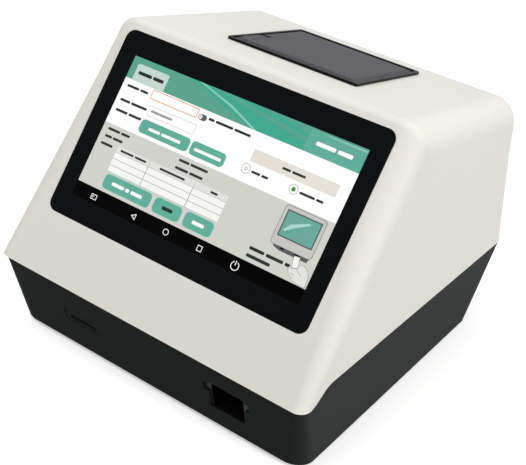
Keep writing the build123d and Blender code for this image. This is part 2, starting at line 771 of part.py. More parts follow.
def make_gear_plate():
    """Steel plate outside the gears: holds the idler's pin and the motor, hangs from the deck."""
    x0 = gear_plate_x - gear_plate
    low = pinion_at[1] - printer_motor_radius - 1
    plate = in_plane(printer, block(x0, gear_plate_x, idler_at[0] - 6, pinion_at[0] + 12, low, -skirt_depth))
    plate += in_plane(
        printer,
        block(x0, gear_plate_x + 3, bin_near + 2, pinion_at[0] + 12, -skirt_depth - gear_plate, -skirt_depth),
    )
    return plate - printer_bar(x0, gear_plate_x, pinion_at, motor_shaft_radius + 0.3)


write("gear_plate", make_gear_plate())
motor_x0 = gear_plate_x - gear_plate - printer_motor_length
feed_motor = printer_bar(motor_x0, gear_plate_x - gear_plate, pinion_at, printer_motor_radius)
feed_motor -= printer_bar(
    gear_plate_x - gear_plate - 3, gear_plate_x - gear_plate, pinion_at, motor_shaft_radius + running
)
write("feed_motor", feed_motor)

head_face = platen_back - platen_radius - head_gap
head_half = bin_half - 0.4
head_top = -platen_drop + 4.0
ceramic = 0.8
head = block(-head_half, head_half, head_back, head_face - ceramic, -skirt_depth - 4, head_top - 1)
write("head_heatsink", in_plane(printer, head))
head_strip = block(-head_half, head_half, head_face - ceramic, head_face, -skirt_depth - 2, head_top)
write("thermal_head", in_plane(printer, head_strip))

tear_teeth = 28
tear_low = -paper_gate


def make_tear_bar():
    """Serrated strip behind the flange's front edge, where the paper leaves."""
    start = -bin_half + fit
    pitch = -2 * start / tear_teeth
    points = [(start, tear_low)]
    for tooth in range(tear_teeth):
        points.append((start + tooth * pitch, -0.6))
        points.append((start + (tooth + 0.5) * pitch, 0.1))
    points += [(start + tear_teeth * pitch, -0.6), (start + tear_teeth * pitch, tear_low)]
    strip = extrude(Plane.XZ * make_face(Polyline(*points, close=True)), 0.4)
    return in_plane(printer, Pos(0, flange_rim + 0.4, 0) * strip)


write("tear_bar", make_tear_bar())

roll_at = (roll_back, -roll_drop)
write("paper_roll", printer_bar(-paper_width / 2, paper_width / 2, roll_at, roll_radius, roll_core))
write("roll_core", printer_bar(-paper_width / 2, paper_width / 2, roll_at, roll_core, roll_core - 1.5))

# ---------------------------------------------------------------- cartridge slot and scan unit
def make_slot_guide():
    """Liner of the cartridge opening: a square sleeve that leads the cartridge to the carriage."""
    outer = slot_cutter(0, guide_depth)
    middle = -slot_drop / cos(radians(front_rake))
    inner = Pos(slot_x, middle) * Rectangle(slot_width - 2 * guide_wall, slot_height - 2 * guide_wall)
    inner = in_plane(undercut, Pos(0, 0, -2 * guide_depth) * extrude(inner, 4 * guide_depth))
    skin = in_plane(undercut, block(-cover_width, cover_width, -base_height * 2, 0, -guide_depth, -guide_wall))
    return (outer & skin) - inner


write("slot_guide", make_slot_guide())


def make_card_reader():
    """Socket behind the ID-card slot, square to the base's front face, on its small board."""
    drop = -slot_drop / cos(radians(front_rake))
    back = -base_wall
    body = block(card_x - card_width / 2 - 3, card_x + card_width / 2 + 3, drop - 4, drop + 4, back - 26, back)
    body -= block(card_x - card_width / 2 + 1, card_x + card_width / 2 - 1, drop - 1, drop + 1, back - 24, back)
    board = block(card_x - card_width / 2 - 6, card_x + card_width / 2 + 6, drop - 5.6, drop - 4, back - 30, back)
    return in_plane(undercut, body + board)


write("card_reader", make_card_reader())


def make_chassis():
    """Scan chassis: a plate with an end block at each end that holds the rods and the screw."""
    side = chassis_width / 2
    plate = block(
        slot_x - side, slot_x + side, chassis_front, chassis_front + chassis_length,
        chassis_z, chassis_z + chassis_plate,
    )
    block_top = rod_z + rod_radius + 4
    for y in (chassis_front, rear_block_y):
        low = chassis_z + chassis_plate
        plate += block(slot_x - side, slot_x + side, y, y + block_length, low, block_top)
    # the front block is open in the middle, for the cartridge
    passage = carriage_width / 2 + 1
    plate -= block(
        slot_x - passage, slot_x + passage, chassis_front, chassis_front + block_length, tray_low - 0.5, block_top
    )
    far = chassis_front + rod_length
    for dx in (-rod_spread, rod_spread):
        plate -= bar((slot_x + dx, chassis_front, rod_z), (slot_x + dx, far, rod_z), rod_radius)
    plate -= bar((slot_x, chassis_front, screw_z), (slot_x, far, screw_z), screw_radius + 2.5)
    for x, y in chassis_posts():
        plate -= bar((x, y, chassis_z), (x, y, block_top), screw_head + fit)
        plate += bar((x, y, chassis_z), (x, y, chassis_z + chassis_plate), screw_head + fit)
        plate -= bar((x, y, chassis_z), (x, y, block_top), screw_shank)
    return plate


carriage_width = cartridge_width + 10.0
screw_z = chassis_z + chassis_plate + 5.0
tray_low = rod_z - 1.0
tray_height = 8.0
carriage_front = chassis_front - 6.0

write("scan_chassis", make_chassis())
rods = [
    bar((slot_x + dx, chassis_front, rod_z), (slot_x + dx, chassis_front + rod_length, rod_z), rod_radius)
    for dx in (-rod_spread, rod_spread)
]
write("guide_rods", Compound(rods))
chassis_screws = [
    bar((x, y, chassis_z + chassis_plate), (x, y, chassis_z + chassis_plate + screw_shank), screw_head)
    + bar((x, y, floor_z + 1), (x, y, chassis_z + chassis_plate), screw_shank)
    for x, y in chassis_posts()
]
write("chassis_screws", Compound(chassis_screws))


def make_carriage():
    """Cartridge carriage: an open tray on two rod bushes, with the lead screw's nut under it."""
    half = carriage_width / 2
    near = carriage_front
    far = near + carriage_length
    tray = block(slot_x - half, slot_x + half, near, far, tray_low, tray_low + tray_height)
    tray -= block(
        slot_x - cartridge_width / 2, slot_x + cartridge_width / 2, near, far - 3,
        tray_low + 2, tray_low + tray_height,
    )
    tray += block(slot_x - 6, slot_x + 6, far - 14, far - 4, screw_z - 5, tray_low)
    wing = rod_spread + rod_radius + 3
    tray += block(slot_x - wing, slot_x + wing, far - 34, far - 8, rod_z - 5, tray_low + 4)
    tray -= block(
        slot_x - cartridge_width / 2, slot_x + cartridge_width / 2, near, far - 3,
        tray_low + 2, tray_low + tray_height,
    )
    for dx in (-rod_spread, rod_spread):
        tray -= bar((slot_x + dx, near, rod_z), (slot_x + dx, far, rod_z), rod_radius + running)
    return tray - bar((slot_x, near, screw_z), (slot_x, far, screw_z), screw_radius + 2 * running)


write("cartridge_carriage", make_carriage())

coupling_y = rear_block_y + block_length + 2.0
coupling_length = chassis_tail
write("lead_screw", bar((slot_x, chassis_front + 2, screw_z), (slot_x, coupling_y + 5, screw_z), screw_radius))
bearing_outer = screw_radius + 2.5
bearings = [
    bar((slot_x, y, screw_z), (slot_x, y + block_length, screw_z), bearing_outer, screw_radius + running)
    for y in (chassis_front, rear_block_y)
]
write("screw_bearings", Compound(bearings))
write(
    "stage_coupling",
    bar((slot_x, coupling_y, screw_z), (slot_x, coupling_y + coupling_length, screw_z), 4.6)
    - bar((slot_x, coupling_y, screw_z), (slot_x, coupling_y + 5, screw_z), screw_radius)
    - bar((slot_x, coupling_y + 7, screw_z), (slot_x, coupling_y + coupling_length, screw_z), 2),
)
stage_face = chassis_front + chassis_length + 3.5
write("stage_motor_shaft", bar((slot_x, coupling_y + 7, screw_z), (slot_x, stage_face + 3, screw_z), 2))


def make_stage_motor():
    """Square stepper motor behind the chassis, on a foot that stands on the base's floor."""
    half = stage_motor_size / 2
    low = floor_z
    body = block(
        slot_x - half, slot_x + half, stage_face, stage_face + stage_motor_length, screw_z - half, screw_z + half
    )
    body = fillet(body.edges().filter_by(Axis.Y), 3)
    body += block(slot_x - half, slot_x + half, stage_face, stage_face + 4, low, screw_z)
    return body - bar((slot_x, stage_face, screw_z), (slot_x, stage_face + 3, screw_z), 2 + running)


write("stage_motor", make_stage_motor())

# ---------------------------------------------------------------- optical head over the carriage
optics_y = carriage_front + carriage_travel + carriage_length / 2 + 7.0
optics_low = tray_low + tray_height + 6.0
optics_height = 34.0
optics_length = 40.0
optics_half = 17.0
lens_radius = 6.0
lens_height = 4.0
tube_radius = 4.0


def make_optics():
    """Optical head: a block on two legs that stand on the chassis beside the carriage's path."""
    near = optics_y - optics_length / 2
    far = optics_y + optics_length / 2
    leg_in = rod_spread + rod_radius + 4.5
    leg_out = chassis_width / 2 + 3.0
    body = block(slot_x - optics_half, slot_x + optics_half, near, far, optics_low, optics_low + optics_height)
    body += block(slot_x - leg_out, slot_x + leg_out, near, near + 12, optics_low, optics_low + 5)
    for side in (-1, 1):
        x0, x1 = sorted((slot_x + side * leg_in, slot_x + side * leg_out))
        body += block(x0, x1, near, near + 12, chassis_z + chassis_plate, optics_low + 5)
        body -= block(x0 - 10, x1 + 10, near - 1, near + 13, 0, chassis_z + chassis_plate)
    bore_top = optics_low + optics_height
    body -= bar((slot_x, optics_y, optics_low), (slot_x, optics_y, bore_top), tube_radius)
    body -= bar((slot_x, optics_y, optics_low), (slot_x, optics_y, optics_low + lens_height), lens_radius)
    light_z = optics_low + optics_height / 2
    body -= bar((slot_x, near, light_z), (slot_x, optics_y, light_z), 2.5)
    return body


write("optical_head", make_optics())
lens = bar((slot_x, optics_y, optics_low), (slot_x, optics_y, optics_low + lens_height), lens_radius)
write("objective_lens", lens)
light_z = optics_low + optics_height / 2
light_y = optics_y - optics_length / 2
write(
    "light_source",
    bar((slot_x, light_y - 2, light_z), (slot_x, light_y, light_z), 4)
    + bar((slot_x, light_y, light_z), (slot_x, light_y + 8, light_z), 2.5),
)
detector_z = optics_low + optics_height
write(
    "photo_detector",
    bar((slot_x, optics_y, detector_z - 4), (slot_x, optics_y, detector_z), tube_radius),
)
optics_board = block(
    slot_x - optics_half + 1, slot_x + optics_half - 1,
    optics_y - optics_length / 2 + 1, optics_y + optics_length / 2 - 1,
    detector_z, detector_z + board_thickness,
)
optics_board += block(slot_x - 4, slot_x + 4, optics_y - 4, optics_y + 4, detector_z, detector_z + 3.5)
optics_board += block(slot_x - 9, slot_x + 9, optics_y + 8, optics_y + 14, detector_z, detector_z + 6)
write("detector_board", optics_board)

# ---------------------------------------------------------------- boards
board_z = floor_z + board_height


def make_board():
    """Main board with its processor, heat sink, connectors and capacitors."""
    x0 = board_left
    y0 = board_front
    top_z = board_z + board_thickness
    board = block(x0, x0 + board_width, y0, y0 + board_depth, board_z, top_z)
    board += block(x0 + 20, x0 + 60, y0 + 60, y0 + 100, top_z, top_z + 3)
    for fin in range(9):
        board += block(x0 + 20 + fin * 4.75, x0 + 22 + fin * 4.75, y0 + 60, y0 + 100, top_z + 3, top_z + 12)
    for index in range(4):
        x = x0 + 76 + index * 10
        board += block(x, x + 7, y0 + 64, y0 + 76, top_z, top_z + 1.4)
        board += bar((x + 3, y0 + 108, top_z), (x + 3, y0 + 108, top_z + 11), 3.6)
    board += block(x0 + 14, x0 + 46, y0 + 14, y0 + 20, top_z, top_z + 7)
    board += block(x0 + 60, x0 + 92, y0 + 14, y0 + 20, top_z, top_z + 7)
    board += block(x0 + 76, x0 + 100, y0 + 36, y0 + 52, top_z, top_z + 2.2)
    for x, y in board_posts():
        board -= bar((x, y, board_z), (x, y, top_z), screw_shank)
    return board


write("main_board", make_board())
board_screws = [
    bar((x, y, board_z + board_thickness), (x, y, board_z + board_thickness + screw_shank), screw_head)
    + bar((x, y, floor_z + 1), (x, y, board_z + board_thickness), screw_shank)
    for x, y in board_posts()
]
write("board_screws", Compound(board_screws))

speaker = bar((speaker_x, speaker_y, floor_z), (speaker_x, speaker_y, floor_z + 4), speaker_radius)
speaker += bar((speaker_x, speaker_y, floor_z + 4), (speaker_x, speaker_y, floor_z + 8), speaker_radius - 5)
speaker -= bar((speaker_x, speaker_y, floor_z), (speaker_x, speaker_y, floor_z + 2), speaker_radius - 2)
write("speaker", speaker)

# ---------------------------------------------------------------- rear panel and its ports
panel_middle = (panel_low + panel_high) / 2
panel_face = panel_y
inlet_x = -72.0
inlet_radius = 5.5
inlet_bore = 3.2
inlet_pin = 1.0
rocker_x = -46.0
rocker_width = 13.0
rocker_height = 19.0
usb_x = -14.0
usb_width = 13.2
usb_height = 5.8
usb_pitch = 11.0
network_x = 14.0
network_width = 15.6
network_height = 13.2
fan_x = 52.0
port_depth = 15.0


def panel_cut(x, width, height):
    """Hole through the rear panel for a port."""
    return block(
        x - width / 2, x + width / 2, panel_face - port_depth, panel_face + 1,
        panel_middle - height / 2, panel_middle + height / 2,
    )


def make_rear_panel():
    """Port panel with a hole for each port and a slotted grille for the fan."""
    half = panel_span / 2 - fit
    panel = block(
        -half, half, panel_face - panel_thickness_rear, panel_face, panel_low + fit, panel_high - fit
    )
    inlet_end = (inlet_x, panel_face, panel_middle)
    panel -= bar((inlet_x, panel_face - 2 * panel_thickness_rear, panel_middle), inlet_end, inlet_radius)
    panel -= panel_cut(rocker_x, rocker_width, rocker_height)
    for rise in (-usb_pitch / 2, usb_pitch / 2):
        panel -= Pos(0, 0, rise) * panel_cut(usb_x, usb_width, usb_height)
    panel -= panel_cut(network_x, network_width, network_height)
    for row in range(7):
        z = panel_middle + (row - 3) * 3.6
        reach = fan_size / 2 - 2
        length = 2 * (reach ** 2 - (z - panel_middle) ** 2) ** 0.5
        panel -= block(fan_x - length / 2, fan_x + length / 2, panel_face - 3, panel_face + 1, z - 0.9, z + 0.9)
    return panel


write("rear_panel", make_rear_panel())


def make_inlet():
    """Round supply inlet: a barrel with its contact pin, flush with the rear panel."""
    inside = panel_face - port_depth
    barrel = bar((inlet_x, inside, panel_middle), (inlet_x, panel_face, panel_middle), inlet_radius)
    barrel -= bar((inlet_x, inside + 4, panel_middle), (inlet_x, panel_face, panel_middle), inlet_bore)
    return barrel + bar((inlet_x, inside + 4, panel_middle), (inlet_x, panel_face - 2, panel_middle), inlet_pin)


write("supply_inlet", make_inlet())


def port_shell(x, z, width, height):
    """Metal port shell with an open mouth and a tongue."""
    inside = panel_face - port_depth
    shell = block(x - width / 2, x + width / 2, inside, panel_face, z - height / 2, z + height / 2)
    wall = 0.7
    shell -= block(
        x - width / 2 + wall, x + width / 2 - wall, inside + wall, panel_face,
        z - height / 2 + wall, z + height / 2 - wall,
    )
    return shell


usb_ports = []
for rise in (-usb_pitch / 2, usb_pitch / 2):
    z = panel_middle + rise
    shell = port_shell(usb_x, z, usb_width, usb_height)
    shell += block(
        usb_x - usb_width / 2 + 1.4, usb_x + usb_width / 2 - 1.4, panel_face - port_depth, panel_face - 1.5, z, z + 1.4
    )
    usb_ports.append(shell)
write("usb_ports", Compound(usb_ports))
write("network_port", port_shell(network_x, panel_middle, network_width, network_height))

rocker_depth = 12.0
rocker_wall = 1.4
rocker_pivot_in = 2.0        # pivot inside the panel's face
rocker_tip = 4.0
rocker_rest = 8.0


def make_switch_body():
    """Rocker switch housing, open at its face."""
    shape = block(
        rocker_x - rocker_width / 2, rocker_x + rocker_width / 2, panel_face - rocker_depth, panel_face + 0.8,
        panel_middle - rocker_height / 2, panel_middle + rocker_height / 2,
    )
    shape -= block(
        rocker_x - rocker_width / 2 + rocker_wall, rocker_x + rocker_width / 2 - rocker_wall,
        panel_face - rocker_depth + rocker_wall, panel_face + 1,
        panel_middle - rocker_height / 2 + rocker_wall, panel_middle + rocker_height / 2 - rocker_wall,
    )
    return shape


def make_rocker():
    """Rocker: a shallow V on a pin across its middle, drawn tipped to its off side."""
    half_height = rocker_height / 2 - rocker_wall - 0.6
    half_width = rocker_width / 2 - rocker_wall - 0.3
    lean = tan(radians(rocker_rest)) * half_height
    outline = [
        (-rocker_tip, -half_height + 1), (0, -half_height), (lean + 1.2, -half_height), (1.4, 0),
        (lean + 1.2, half_height), (0, half_height), (-rocker_tip, half_height - 1),
    ]
    face = Plane.YZ * make_face(Polyline(*outline, close=True))
    shape = Pos(rocker_x, panel_face - rocker_pivot_in, panel_middle) * Rot(rocker_rest, 0, 0) * extrude(
        face, half_width, both=True
    )
    axis_y = panel_face - rocker_pivot_in
    pin = bar(
        (rocker_x - half_width - 0.2, axis_y, panel_middle), (rocker_x + half_width + 0.2, axis_y, panel_middle), 1
    )
    return shape + pin


write("switch_body", make_switch_body())
write("switch_rocker", make_rocker())


def make_fan_frame():
    """Square fan housing with a round duct and a hub held by three arms."""
    half = fan_size / 2
    far = panel_face - panel_thickness_rear
    near = far - fan_depth
    frame = block(fan_x - half, fan_x + half, near, far, panel_middle - half, panel_middle + half)
    frame -= bar((fan_x, near, panel_middle), (fan_x, far, panel_middle), half - 1.5)
    frame += bar((fan_x, near, panel_middle), (fan_x, near + 1.5, panel_middle), 5)
    for angle in (90, 210, 330):
        arm = Pos(fan_x, near, panel_middle) * Rot(0, -angle, 0) * block(0, half - 1, 0, 1.5, -1, 1)
        frame += arm
    return frame + bar((fan_x, near, panel_middle), (fan_x, near + 6, panel_middle), 1.2)


def make_fan_rotor():
    """Fan rotor: a hub with seven twisted blades."""
    far = panel_face - panel_thickness_rear
    near = far - fan_depth + 2.2
    rotor = bar((fan_x, near, panel_middle), (fan_x, far - 0.8, panel_middle), 5.5)
    for index in range(7):
        blade = block(4.5, fan_size / 2 - 2.3, -2.4, 2.4, -0.45, 0.45)
        blade = Pos(0, (far - 0.8 + near) / 2, 0) * Rot(-32, 0, 0) * blade
        # the blade's own length runs along X; turned about the fan's axis
        rotor += Pos(fan_x, 0, panel_middle) * Rot(0, 360 / 7 * index, 0) * blade
    return rotor - bar((fan_x, near, panel_middle), (fan_x, near + 4.4, panel_middle), 1.2 + running)


write("fan_frame", make_fan_frame())
write("fan_rotor", make_fan_rotor())
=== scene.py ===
# Bench reader for test cartridges: a white cover with a sloping touch screen and a roll printer in
# its top, on a dark base that holds the scan unit, the boards and the rear ports.
# Metres, in the part's own frame: +X to the user's right, +Y to the back, +Z up, table at z = 0.
import math

import bmesh
import bpy
from mathutils import Matrix, Vector


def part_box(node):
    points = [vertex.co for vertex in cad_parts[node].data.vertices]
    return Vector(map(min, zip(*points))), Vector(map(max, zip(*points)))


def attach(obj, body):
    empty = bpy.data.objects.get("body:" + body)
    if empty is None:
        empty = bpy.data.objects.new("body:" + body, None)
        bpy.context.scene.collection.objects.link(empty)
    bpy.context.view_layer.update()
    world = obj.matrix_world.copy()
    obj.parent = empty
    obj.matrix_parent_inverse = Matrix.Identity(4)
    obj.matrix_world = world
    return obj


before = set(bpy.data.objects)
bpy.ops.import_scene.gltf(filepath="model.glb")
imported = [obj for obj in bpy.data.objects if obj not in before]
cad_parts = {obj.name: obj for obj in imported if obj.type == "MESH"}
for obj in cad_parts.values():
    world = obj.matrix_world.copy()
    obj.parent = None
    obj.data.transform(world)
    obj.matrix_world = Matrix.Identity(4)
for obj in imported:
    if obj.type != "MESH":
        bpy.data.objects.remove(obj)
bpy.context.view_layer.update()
scene = bpy.context.scene

# ---------------------------------------------------------------- viewpoint
# The photograph's viewpoint: a hand-held camera in front, above and to the right of the reader,
# rolled a little, so that the front lip runs down to the right.
camera_data = bpy.data.cameras.new("viewpoint")
camera_data.lens = 70.76
camera_data.sensor_width = 36.0
camera_data.sensor_fit = "HORIZONTAL"
camera_data.clip_start = 0.05
viewpoint = bpy.data.objects.new("viewpoint", camera_data)
scene.collection.objects.link(viewpoint)
right = Vector((0.82196, 0.5424, 0.1739)).normalized()
backward = Vector((0.42110, -0.7842, 0.4556)).normalized()
upward = backward.cross(right).normalized()
viewpoint.matrix_world = Matrix.Translation((0.3098, -0.5950, 0.4168)) @ Matrix((
    (right.x, upward.x, backward.x, 0),
    (right.y, upward.y, backward.y, 0),
    (right.z, upward.z, backward.z, 0),
    (0, 0, 0, 1),
))
scene.camera = viewpoint
scene.view_settings.view_transform = "Standard"


# ---------------------------------------------------------------- table and light
# A white table under even studio light: a large soft lamp high at the left front, a lower and
# slightly warm one at the right, and a bright room. The table shows white and keeps a soft shadow.
def linear(code):
    """Hex sRGB colour as the linear RGBA that shaders take."""
    channels = [int(code[i:i + 2], 16) / 255 for i in (0, 2, 4)]
    return tuple(c / 12.92 if c <= 0.04045 else ((c + 0.055) / 1.055) ** 2.4 for c in channels) + (1.0,)


def add(tree, kind, inputs=None, **settings):
    """One shader node with its settings; an input is given a value, or a socket to link from."""
    made = tree.nodes.new(kind)
    for name, value in settings.items():
        setattr(made, name, value)
    for name, value in (inputs or {}).items():
        if isinstance(value, bpy.types.NodeSocket):
            tree.links.new(value, made.inputs[name])
        else:
            made.inputs[name].default_value = value
    return made


def blank_material(name):
    """Material with an empty node tree."""
    material = bpy.data.materials.new(name)
    material.use_nodes = True
    material.node_tree.nodes.clear()
    return material, material.node_tree


def seen_straight(tree):
    """1 for what the camera sees directly, in a mirror or through glass, and 0 for light that lands."""
    path = add(tree, "ShaderNodeLightPath").outputs
    seen = path["Is Camera Ray"]
    for kind in ("Is Glossy Ray", "Is Transmission Ray"):
        seen = add(tree, "ShaderNodeMath", {0: seen, 1: path[kind]}, operation="MAXIMUM").outputs[0]
    return seen


room = bpy.data.worlds.new("room")
room.use_nodes = True
tree = room.node_tree
tree.nodes.clear()
room_light = 0.54
strength = add(tree, "ShaderNodeMapRange", {
    "Value": seen_straight(tree), "To Min": room_light, "To Max": 1.0,
})
lit = add(tree, "ShaderNodeBackground", {"Color": (1, 1, 1, 1), "Strength": strength.outputs[0]})
add(tree, "ShaderNodeOutputWorld", {"Surface": lit.outputs[0]})
scene.world = room

table_material, tree = blank_material("white_laminate_table")
pale = add(tree, "ShaderNodeBsdfDiffuse", {"Color": linear("F4F4F4"), "Roughness": 0.6})
dim = add(tree, "ShaderNodeBsdfDiffuse", {"Color": linear("2C2C2C"), "Roughness": 0.6})
glow = add(tree, "ShaderNodeEmission", {"Color": (1, 1, 1, 1), "Strength": 0.42})
bright = add(tree, "ShaderNodeAddShader", {0: pale.outputs[0], 1: glow.outputs[0]})
shown = add(tree, "ShaderNodeMixShader", {
    0: seen_straight(tree), 1: dim.outputs[0], 2: bright.outputs[0],
})
add(tree, "ShaderNodeOutputMaterial", {"Surface": shown.outputs[0]})
reach = 6.0                           # table's middle to its edges
table_corners = [(-reach, -reach, 0), (reach, -reach, 0), (reach, reach, 0), (-reach, reach, 0)]
table_mesh = bpy.data.meshes.new("table")
table_mesh.from_pydata(table_corners, [], [(0, 1, 2, 3)])
table_mesh.materials.append(table_material)
table = bpy.data.objects.new("table", table_mesh)
scene.collection.objects.link(table)


def soft_lamp(name, place, aim, size, watts, tint):
    """Square soft box at a place, turned to a point."""
    data = bpy.data.lights.new(name, "AREA")
    data.shape = "SQUARE"
    data.size = size
    data.energy = watts
    data.color = tint
    lamp = bpy.data.objects.new(name, data)
    lamp.location = place
    lamp.rotation_euler = (Vector(aim) - Vector(place)).to_track_quat("-Z", "Y").to_euler()
    scene.collection.objects.link(lamp)


soft_lamp("key_lamp", (-0.45, -0.95, 1.65), (0, 0, 0.12), 1.1, 15.5, (1.0, 1.0, 0.985))
soft_lamp("side_lamp", (1.75, -0.1, 0.65), (0.1, 0, 0.1), 0.9, 19, (1.0, 0.97, 0.955))


# ---------------------------------------------------------------- cover
# The cover is one ABS moulding, warm white, spark-eroded to a fine even texture. The texture gives
# a soft, wide highlight. It is fixed to the base by four screws from below.
def object_place(tree):
    """Texture coordinates in metres on the piece itself."""
    return add(tree, "ShaderNodeTexCoord").outputs["Object"]


def moulded(name, colour, shade, rough, grain, bump, sheen=0.35):
    """Moulded plastic, or a finish like it: two close shades in clouds, and a grain in millimetres."""
    material, tree = blank_material(name)
    place = object_place(tree)
    clouds = add(tree, "ShaderNodeTexNoise", {
        "Vector": place, "Scale": 14.0, "Detail": 3.0, "Roughness": 0.55,
    })
    tint = add(tree, "ShaderNodeMix", {
        "Factor": clouds.outputs[0], 6: linear(shade), 7: linear(colour),
    }, data_type="RGBA")
    grains = add(tree, "ShaderNodeTexNoise", {
        "Vector": place, "Scale": 1000 / grain, "Detail": 2.0, "Roughness": 0.6,
    })
    relief = add(tree, "ShaderNodeBump", {
        "Height": grains.outputs[0], "Strength": bump, "Distance": grain / 9000,
    })
    matt = add(tree, "ShaderNodeMapRange", {
        "Value": grains.outputs[0], "From Min": 0.3, "From Max": 0.7,
        "To Min": rough - 0.06, "To Max": rough + 0.06,
    })
    shader = add(tree, "ShaderNodeBsdfPrincipled", {
        "Base Color": tint.outputs[2], "Roughness": matt.outputs[0], "IOR": 1.53,
        "Specular IOR Level": sheen, "Normal": relief.outputs[0],
    })
    add(tree, "ShaderNodeOutputMaterial", {"Surface": shader.outputs[0]})
    return material


def dress(material, *nodes):
    """Gives CAD nodes their material."""
    for name in nodes:
        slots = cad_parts[name].data.materials
        slots.clear()
        slots.append(material)


cover_abs = moulded("white_abs_fine_texture", "E9E7E1", "E4E2DC", 0.5, 0.7, 0.35, 0.25)
dress(cover_abs, "top_cover")

# ---------------------------------------------------------------- base
# The base is one tray of black ABS. Its slightly coarser texture spreads the light, so its side
# walls look dark grey and its undercut front nearly black. Four soft feet sit under its floor.
base_abs = moulded("black_abs_texture", "313334", "2C2E2F", 0.55, 0.9, 0.5, 0.012)
dress(base_abs, "base_shell", "rear_panel")
foot_rubber = moulded("soft_rubber", "161616", "121212", 0.75, 1.1, 0.6, 0.1)
dress(foot_rubber, "rubber_feet")


def worked_metal(name, colour, rough, grain, along, stretch=12.0):
    """Metal with fine tool marks: streaks of that width in millimetres, drawn out along one axis."""
    material, tree = blank_material(name)
    scale = [1.0, 1.0, 1.0]
    scale["XYZ".index(along)] = 1 / stretch
    drawn = add(tree, "ShaderNodeMapping", {"Vector": object_place(tree), "Scale": scale})
    marks = add(tree, "ShaderNodeTexNoise", {
        "Vector": drawn.outputs[0], "Scale": 1000 / grain, "Detail": 3.0,
    })
    matt = add(tree, "ShaderNodeMapRange", {
        "Value": marks.outputs[0], "From Min": 0.3, "From Max": 0.7,
        "To Min": rough - 0.08, "To Max": rough + 0.08,
    })
    relief = add(tree, "ShaderNodeBump", {
        "Height": marks.outputs[0], "Strength": 0.25, "Distance": grain / 12000,
    })
    shader = add(tree, "ShaderNodeBsdfPrincipled", {
        "Base Color": linear(colour), "Metallic": 1.0, "Roughness": matt.outputs[0],
        "Normal": relief.outputs[0],
    })
    add(tree, "ShaderNodeOutputMaterial", {"Surface": shader.outputs[0]})
    return material


# the screws' zinc gives a soft blue-grey glint
zinc_screw = worked_metal("zinc_plated_steel", "B4B8BA", 0.34, 0.5, "Z", 1.0)
dress(zinc_screw, "cover_screws", "board_screws", "bracket_screws", "chassis_screws")

# ---------------------------------------------------------------- screen
# The touch screen is one black-backed sheet of toughened glass, flush in its pocket. Its lit
# picture shows through a window in the black print: white and grey areas, teal bars and buttons.
# Where the picture holds words, plain bars stand in their place.
glass_material, tree = blank_material("black_printed_glass")
smears = add(tree, "ShaderNodeTexNoise", {"Vector": object_place(tree), "Scale": 22.0, "Detail": 4.0})
matt = add(tree, "ShaderNodeMapRange", {
    "Value": smears.outputs[0], "From Min": 0.35, "From Max": 0.75, "To Min": 0.05, "To Max": 0.11,
})
shader = add(tree, "ShaderNodeBsdfPrincipled", {
    "Base Color": linear("05070A"), "Roughness": matt.outputs[0], "IOR": 1.5, "Specular IOR Level": 0.05,
})
add(tree, "ShaderNodeOutputMaterial", {"Surface": shader.outputs[0]})
dress(glass_material, "touch_glass")

panel_plastic = moulded("smoked_display_module", "1B1C1E", "17181A", 0.3, 2.0, 0.1)
dress(panel_plastic, "lcd_panel")

glass_tilt = math.radians(60.176)
glass_width = 0.2019
glass_thickness = 0.0018
glass_low, glass_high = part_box("touch_glass")
glass_foot = Vector((0, glass_low.y, glass_low.z + glass_thickness * math.cos(glass_tilt)))
along_glass = Vector((0, math.cos(glass_tilt), math.sin(glass_tilt)))
off_glass = Vector((0, -math.sin(glass_tilt), math.cos(glass_tilt)))
picture_left = 0.05                   # the picture's own grid: 1700 steps to the glass's width
picture_top = 0.6
picture_steps = 1700.0
film_gap = 0.00005                    # the picture's layers lie this far off the glass, and apart
film_step = 0.00003


def on_glass(x, y, layer):
    """Point of the picture's grid on the glass."""
    across = (picture_left + x / picture_steps - 0.5) * glass_width
    up = (picture_top - y / picture_steps) * glass_width
    off = film_gap + layer * film_step
    return glass_foot + Vector((across, 0, 0)) + along_glass * up + off_glass * off


def lit_colour(name, colour):
    """A lit area of the picture, even to a few per cent, behind the same smooth glass."""
    material, tree = blank_material(name)
    shader = add(tree, "ShaderNodeBsdfPrincipled", {
        "Base Color": (0, 0, 0, 1), "Roughness": 0.08, "IOR": 1.5, "Specular IOR Level": 0.03,
        "Emission Color": linear(colour),
    })
    grid = add(tree, "ShaderNodeTexNoise", {"Vector": object_place(tree), "Scale": 30.0, "Detail": 1.0})
    even = add(tree, "ShaderNodeMapRange", {"Value": grid.outputs[0], "To Min": 0.97, "To Max": 1.03})
    tree.links.new(even.outputs[0], shader.inputs["Emission Strength"])
    add(tree, "ShaderNodeOutputMaterial", {"Surface": shader.outputs[0]})
    return material


def rounded(x0, y0, x1, y1, radius, steps=5):
    """Outline of a rounded rectangle, counter-clockwise as seen on the glass."""
    outline = []
    corners = (
        (x1 - radius, y1 - radius, 0), (x0 + radius, y1 - radius, 90),
        (x0 + radius, y0 + radius, 180), (x1 - radius, y0 + radius, 270),
    )
    for cx, cy, start in corners:
        for step in range(steps + 1):
            angle = math.radians(start + 90 * step / steps)
            outline.append((cx + radius * math.cos(angle), cy + radius * math.sin(angle)))
    return outline


def disc(x, y, radius, steps=28):
    """Outline of a round spot."""
    return [
        (x + radius * math.cos(2 * math.pi * k / steps), y + radius * math.sin(2 * math.pi * k / steps))
        for k in range(steps)
    ]


picture = {}                          # colour to its flat areas, each with its layer


def paint(colour, layer, *outlines):
    """Keeps flat areas of one colour for the picture."""
    picture.setdefault(colour, []).extend((outline, layer) for outline in outlines)


def box_area(x0, y0, x1, y1):
    """Outline of a plain rectangle."""
    return [(x0, y0), (x1, y0), (x1, y1), (x0, y1)]


